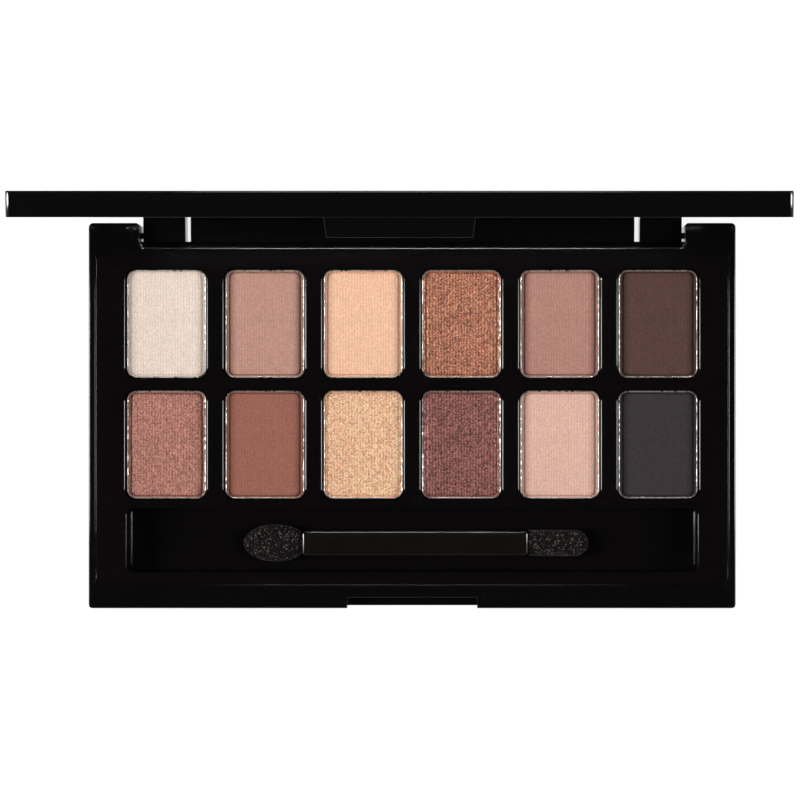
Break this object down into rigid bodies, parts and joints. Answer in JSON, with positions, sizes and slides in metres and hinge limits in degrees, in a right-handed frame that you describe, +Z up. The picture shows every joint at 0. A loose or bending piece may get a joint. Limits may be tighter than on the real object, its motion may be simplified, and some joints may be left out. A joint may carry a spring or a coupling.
{
  "type": "eyeshadow palette",
  "caption": "Slim black hinged makeup palette with pressed eyeshadow pans, a clear lid window and a double-ended sponge applicator in a trough.",
  "frame": {"origin": "centre of the base's flat underside", "axes": "+X to the right along the rows of pans, +Y towards the hinge, +Z up"},
  "size_m": [0.125, 0.0805, 0.0772],
  "materials": {
    "case_black": "high gloss, injection moulded",
    "deck_black": "high gloss, injection moulded",
    "tinplate": "bright pressed tinplate",
    "shade_01": "pearl shimmer, pressed",
    "shade_02": "matte, pressed",
    "shade_03": "matte, pressed",
    "shade_04": "metallic shimmer, pressed",
    "shade_05": "satin, pressed",
    "shade_06": "matte, pressed",
    "shade_07": "shimmer, pressed",
    "shade_08": "matte, pressed",
    "shade_09": "shimmer, pressed",
    "shade_10": "metallic shimmer, pressed",
    "shade_11": "pearl shimmer, pressed",
    "shade_12": "matte, pressed",
    "adhesive": "soft adhesive disc",
    "label_paper": "blank coated paper",
    "window_clear": "clear, polished",
    "handle_black": "gloss, injection moulded",
    "sponge_foam": "fine open-cell foam"
  },
  "bodies": {
    "base": {"base_shell": "case_black", "deck_tray": "deck_black", "pan_01": "tinplate", "pan_02": "tinplate", "pan_03": "tinplate", "pan_04": "tinplate", "pan_05": "tinplate", "pan_06": "tinplate", "pan_07": "tinplate", "pan_08": "tinplate", "pan_09": "tinplate", "pan_10": "tinplate", "pan_11": "tinplate", "pan_12": "tinplate", "powder_01": "shade_01", "powder_02": "shade_02", "powder_03": "shade_03", "powder_04": "shade_04", "powder_05": "shade_05", "powder_06": "shade_06", "powder_07": "shade_07", "powder_08": "shade_08", "powder_09": "shade_09", "powder_10": "shade_10", "powder_11": "shade_11", "powder_12": "shade_12", "pan_adhesive": "adhesive", "bottom_label": "label_paper"},
    "lid": {"lid_frame": "case_black", "lid_window": "window_clear"},
    "applicator": {"applicator_handle": "handle_black", "sponge_oval": "sponge_foam", "sponge_narrow": "sponge_foam"}
  },
  "joints": [
    {"name": "lid_hinge", "type": "hinge", "parent": "base", "child": "lid", "pos_m": [0, 0.035, 0.0045], "axis": [-1, 0, 0], "range_deg": [-84.5, 20.5]},
    {"name": "applicator_lift", "type": "slide", "parent": "base", "child": "applicator", "axis": [0, 0, 1], "range_m": [0, 0.03]}
  ]
}
